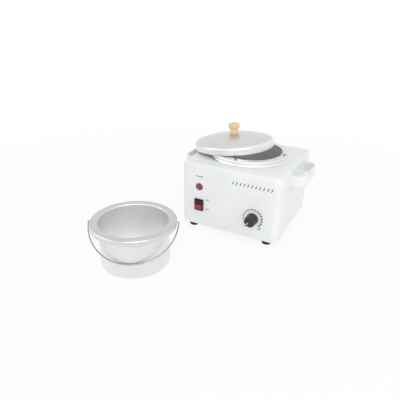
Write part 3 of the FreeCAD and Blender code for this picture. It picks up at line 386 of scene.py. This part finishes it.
FINISHES = {
    WHITE: ("housing_shell", "handle_left", "handle_right", "handle_screws"),
    BASE_STEEL: ("base_plate",),
    RUBBER: ("foot_front_left", "foot_front_right", "foot_rear_left", "foot_rear_right"),
    ZINC: (
        "foot_screws", "base_plate_screws", "heater_bolt", "earth_stud", "bulb_clip", "well_spacers",
        "thermostat_shaft", "lid_screw", "lid_washer", "pilot_lamp_nut", "thermostat_nut",
    ),
    BRIGHT_WIRE: ("bail_wire",),
    DARK_STEEL: ("well_screws",),
    WELL_METAL: ("heating_well",),
    COLLAR_METAL: ("well_collar",),
    LID_METAL: ("lid_shell",),
    POT_METAL: ("wax_pot",),
    HEATER_METAL: ("band_heater",),
    FIBRE: ("insulation_sleeve",),
    COPPER: ("thermostat_bulb", "thermostat_capillary"),
    PHENOLIC: ("thermal_cutout", "thermostat_body"),
    LENS_RED: ("pilot_lamp_lens",),
    ROCKER_RED: ("switch_rocker",),
    KNOB_GREY: ("control_knob",),
    BLACK: ("switch_housing", "cord_gland", "gland_nut", "pilot_lamp_body"),
    POINTER_PAINT: ("knob_pointer",),
    BLOCK_PLASTIC: ("terminal_block",),
    WOOD: ("lid_knob",),
}


def dress_nodes():
    """Gives every node of the frame its finish."""
    for material, names in FINISHES.items():
        for name in names:
            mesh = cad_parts[name].data
            mesh.materials.clear()
            mesh.materials.append(material)


# Small flat pieces that lie on others

def add_piece(name, mesh, material, body):
    """A new piece that moves with a body."""
    piece = bpy.data.objects.new(name, mesh)
    scene.collection.objects.link(piece)
    piece.data.materials.append(material)
    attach(piece, body)


def prism_mesh(name, prisms):
    """Prisms joined in one mesh, each between two like rings of points."""
    vertices, faces = [], []
    for near, far in prisms:
        start, count = len(vertices), len(near)
        vertices += near + far
        faces.append([start + index for index in reversed(range(count))])
        faces.append([start + count + index for index in range(count)])
        for index in range(count):
            after = (index + 1) % count
            faces.append([start + index, start + after, start + count + after, start + count + index])
    mesh = bpy.data.meshes.new(name)
    mesh.from_pydata(vertices, [], faces)
    mesh.update()
    return mesh


# Printed marks on the panel

INK_HEIGHT = 0.08 * MM
LAMP_BAR_RISE = 27.0 * MM
LAMP_BAR_WIDTH = 20.0 * MM
LAMP_BAR_HEIGHT = 1.8 * MM
HATCH_COUNT = 11
HATCH_START = WARMER.x + 12.0 * MM
HATCH_STEP = 9.6 * MM
HATCH_MIDDLE = 146.5 * MM
HATCH_HEIGHT = 8.0 * MM
HATCH_WIDTH = 2.0 * MM
HATCH_LEAN = 3.0 * MM

# The dial's ticks run clockwise, and each pair of values is for the first and the last
TICK_COUNT = 17
TICK_RADIUS = 23.4 * MM
TICK_ANGLE = (math.radians(222), math.radians(-40))
TICK_LENGTH = (0.9 * MM, 4.7 * MM)
TICK_WIDTH = (5.0 * MM, 3.8 * MM)
TICK_CORNERS = ((-0.5, -0.5), (-0.5, 0.5), (0.5, 0.5), (0.5, -0.5))

# Each label's name and words, what it stands beside, how far to the right and up, and its height
FONT_SIZE_SHARE = 1.4
TEXT_BOLDNESS = 0.035
SWITCH_TEXT = 3.6 * MM
DIAL_TEXT = 5.6 * MM
LABELS = (
    ("label_on", "ON", SWITCH, 22.5 * MM, 16.5 * MM, SWITCH_TEXT),
    ("label_off", "OFF", SWITCH, 23.5 * MM, -9.0 * MM, SWITCH_TEXT),
    ("label_low", "0", DIAL, -17.0 * MM, -23.5 * MM, DIAL_TEXT),
    ("label_high", "10", DIAL, 17.5 * MM, -23.5 * MM, DIAL_TEXT),
)


def on_panel(outline, lift):
    """An outline of (x, z) points, lifted off the panel."""
    return [(x, FRONT_Y - lift, z) for x, z in outline]


def print_mesh(name, outlines):
    """Thin plates of ink on the panel, each from its outline."""
    return prism_mesh(name, [(on_panel(outline, 0), on_panel(outline, INK_HEIGHT)) for outline in outlines])


def bar(x, z, width, height, lean=0.0):
    """A bar's corners about its centre; its head leans to the right of its foot."""
    foot, head = x - lean / 2, x + lean / 2
    low, high = z - height / 2, z + height / 2
    half = width / 2
    return [(foot - half, low), (foot + half, low), (head + half, high), (head - half, high)]


def between(ends, share):
    """A number part of the way between two."""
    return ends[0] + (ends[1] - ends[0]) * share


def tick_outline(step):
    """One tick of the dial; they grow longer clockwise."""
    share = step / (TICK_COUNT - 1)
    angle = between(TICK_ANGLE, share)
    outward = Vector((math.cos(angle), math.sin(angle)))
    along = outward * between(TICK_LENGTH, share)
    across = Vector((-outward.y, outward.x)) * between(TICK_WIDTH, share)
    centre = Vector((DIAL.x, DIAL.z)) + outward * TICK_RADIUS
    return [tuple(centre + along * u + across * v) for u, v in TICK_CORNERS]


def text_piece(name, words, x, z, height):
    """Short lettering printed on the panel, centred at a place."""
    curve = bpy.data.curves.new(name, "FONT")
    curve.body = words
    curve.align_x = "CENTER"
    curve.align_y = "CENTER"
    curve.size = height * FONT_SIZE_SHARE
    curve.extrude = INK_HEIGHT / 2
    curve.offset = height * TEXT_BOLDNESS
    holder = bpy.data.objects.new(name + "_curve", curve)
    scene.collection.objects.link(holder)
    bpy.context.view_layer.update()
    evaluated = holder.evaluated_get(bpy.context.evaluated_depsgraph_get())
    mesh = bpy.data.meshes.new_from_object(evaluated)
    bpy.data.objects.remove(holder)
    upright = Matrix.Rotation(math.pi / 2, 4, "X")
    mesh.transform(Matrix.Translation((x, FRONT_Y - INK_HEIGHT / 2, z)) @ upright)
    mesh.name = name
    mesh.materials.clear()
    add_piece(name, mesh, INK, "warmer")


def panel_marks():
    """Dial ticks and numbers, ON and OFF, and plain bars."""
    ticks = [tick_outline(step) for step in range(TICK_COUNT)]
    add_piece("dial_ticks", print_mesh("dial_ticks", ticks), INK, "warmer")
    bars = [bar(LAMP.x, LAMP.z + LAMP_BAR_RISE, LAMP_BAR_WIDTH, LAMP_BAR_HEIGHT)]
    for step in range(HATCH_COUNT):
        x = HATCH_START + step * HATCH_STEP
        bars.append(bar(x, HATCH_MIDDLE, HATCH_WIDTH, HATCH_HEIGHT, HATCH_LEAN))
    add_piece("panel_bars", print_mesh("panel_bars", bars), INK, "warmer")
    for name, words, beside, right, up, height in LABELS:
        text_piece(name, words, beside.x + right, beside.z + up, height)


# Crosses on the heads of the screws that show, painted as the shade in their cross recesses

SCREW_HEAD_RADIUS = 3.8 * MM
CROSS_LENGTH = 4.2 * MM
CROSS_WIDTH = 0.9 * MM
CROSS_HEIGHT = 0.12 * MM
QUARTERS = ((1, 0), (0, 1), (-1, 0), (0, -1))


def cross_outline():
    """A cross's outline about its centre: one inner corner and its two neighbours, turned four times."""
    long, short = CROSS_LENGTH / 2, CROSS_WIDTH / 2
    corner = [(long, short), (short, short), (short, long)]
    outline = []
    for _ in QUARTERS:
        outline += corner
        corner = [(-y, x) for x, y in corner]
    return outline


def cross_mesh(name, places):
    """Crosses joined in one mesh, each at a place and square to a direction."""
    prisms = []
    for place, direction in places:
        stand = Matrix.Translation(place) @ direction.to_track_quat("Z", "Y").to_matrix().to_4x4()
        rings = [[stand @ Vector((x, y, height)) for x, y in cross_outline()] for height in (0, CROSS_HEIGHT)]
        prisms.append(rings)
    return prism_mesh(name, prisms)


def collar_crosses():
    """Dark crosses on the collar's screws: painted shade of their cross recesses."""
    low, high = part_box("well_screws")
    reach = (high.x - low.x) / 2 - SCREW_HEAD_RADIUS
    centre = Vector((WARMER.x, WARMER.y, high.z))
    places = [(centre + Vector((x, y, 0)) * reach, UP) for x, y in QUARTERS]
    add_piece("collar_screw_recess_shade", cross_mesh("collar_screw_recess_shade", places), BLACK, "warmer")


def handle_crosses():
    """Paler crosses on the painted screws in the handles' gaps: painted shade of their cross recesses."""
    low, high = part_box("handle_screws")
    level = (low.z + high.z) / 2
    places = []
    for y in (low.y + SCREW_HEAD_RADIUS, high.y - SCREW_HEAD_RADIUS):
        places.append((Vector((high.x, y, level)), Vector((1, 0, 0))))
        places.append((Vector((low.x, y, level)), Vector((-1, 0, 0))))
    add_piece("handle_screw_recess_shade", cross_mesh("handle_screw_recess_shade", places), ZINC, "warmer")


# Camera, floor and light

CAMERA_PLACE = WARMER + Vector((338.68, -907.46, 501.47)) * MM
CAMERA_RIGHT = Vector((0.8807, 0.4738, 0.0117))
CAMERA_UP = Vector((-0.2129, 0.3734, 0.9030))
FOCAL_PIXELS = 389.5
PICTURE_PIXELS = 400
SENSOR = 36.0
CLIP_START = 0.01
FLOOR_REACH = 40.0
FLOOR_CORNERS = ((-1, -1), (1, -1), (1, 1), (-1, 1))

# The floor's own white takes over from its shadowed colour between two distances from the origin
FLOOR_FADE = (0.5, 1.4)
FLOOR_WHITENESS = (0.86, 1.0)
PURE_WHITE = (1, 1, 1, 1)
SKY_COLOUR = (0.97, 0.985, 1.0, 1)
SKY_STRENGTH = 0.64
LIGHT_TARGET = Vector((0, 0, 0.1))


def add_camera():
    """The photograph's camera: its place, its turn and its angle of view."""
    data = bpy.data.cameras.new("camera")
    data.sensor_width = SENSOR
    data.lens = SENSOR * (FOCAL_PIXELS / PICTURE_PIXELS)
    data.clip_start = CLIP_START
    camera = bpy.data.objects.new("camera", data)
    scene.collection.objects.link(camera)
    right = CAMERA_RIGHT.normalized()
    up = (CAMERA_UP - right * CAMERA_UP.dot(right)).normalized()
    turn = Matrix((right, up, right.cross(up))).transposed().to_4x4()
    camera.matrix_world = Matrix.Translation(CAMERA_PLACE) @ turn
    scene.camera = camera


def seen_directly(tree):
    """1 for rays that show the background: from the camera, or by way of gloss or glass."""
    path = tree.nodes.new("ShaderNodeLightPath")
    total = path.outputs["Is Camera Ray"]
    for name in ("Is Glossy Ray", "Is Transmission Ray"):
        total = combine(tree, "MAXIMUM", total, path.outputs[name])
    return total


def mix_surface(tree, share, first, second, output):
    """Sends a mix of two shaders to an output; the share is the second one's."""
    mix = tree.nodes.new("ShaderNodeMixShader")
    tree.links.new(share, mix.inputs["Fac"])
    tree.links.new(first, mix.inputs[1])
    tree.links.new(second, mix.inputs[2])
    tree.links.new(mix.outputs["Shader"], tree.nodes[output].inputs["Surface"])


def add_floor():
    """Pale floor that shows white and keeps a soft part of the shadow."""
    mesh = bpy.data.meshes.new("floor")
    mesh.from_pydata([(x * FLOOR_REACH, y * FLOOR_REACH, 0) for x, y in FLOOR_CORNERS], [], [(0, 1, 2, 3)])
    floor = bpy.data.objects.new("floor", mesh)
    scene.collection.objects.link(floor)
    material, tree, shader = new_material("floor_white")
    set_inputs(shader, Base_Color=(0.95, 0.95, 0.95, 1), Roughness=0.9, Specular_IOR_Level=0.1)
    glow = add_node(tree, "ShaderNodeEmission", Color=PURE_WHITE, Strength=1.0)
    distance = distance_from(tree, Vector((0, 0, 0)), UP)
    whiteness = map_range(tree, distance, FLOOR_FADE, FLOOR_WHITENESS)
    share = combine(tree, "MULTIPLY", seen_directly(tree), whiteness)
    mix_surface(tree, share, shader.outputs["BSDF"], glow.outputs["Emission"], "Material Output")
    mesh.materials.append(material)


def add_world():
    """White where it is seen, and an even pale light from all round."""
    world = bpy.data.worlds.new("world")
    scene.world = world
    world.use_nodes = True
    tree = world.node_tree
    light = tree.nodes["Background"]
    set_inputs(light, Color=SKY_COLOUR, Strength=SKY_STRENGTH)
    shown = add_node(tree, "ShaderNodeBackground", Color=PURE_WHITE, Strength=1.0)
    share = seen_directly(tree)
    mix_surface(tree, share, light.outputs["Background"], shown.outputs["Background"], "World Output")


def add_lamp(name, place, size, power, mirrored):
    """A soft square lamp that looks at the object; metal and gloss may mirror it."""
    data = bpy.data.lights.new(name, "AREA")
    data.size = size
    data.energy = power
    lamp = bpy.data.objects.new(name, data)
    scene.collection.objects.link(lamp)
    lamp.visible_glossy = mirrored
    lamp.location = place
    lamp.rotation_euler = (LIGHT_TARGET - Vector(place)).to_track_quat("-Z", "Y").to_euler()


dress_nodes()
panel_marks()
collar_crosses()
handle_crosses()
add_camera()
add_floor()
add_world()
add_lamp("key", place=(1.1, -1.4, 1.3), size=1.6, power=14.6, mirrored=True)
add_lamp("fill", place=(-1.5, -1.1, 1.0), size=1.6, power=7.0, mirrored=True)
add_lamp("side", place=(1.9, 0.2, 0.7), size=1.4, power=4.5, mirrored=False)
add_lamp("back", place=(-0.7, 1.9, 0.8), size=1.6, power=8.0, mirrored=False)
scene.view_settings.view_transform = "Standard"
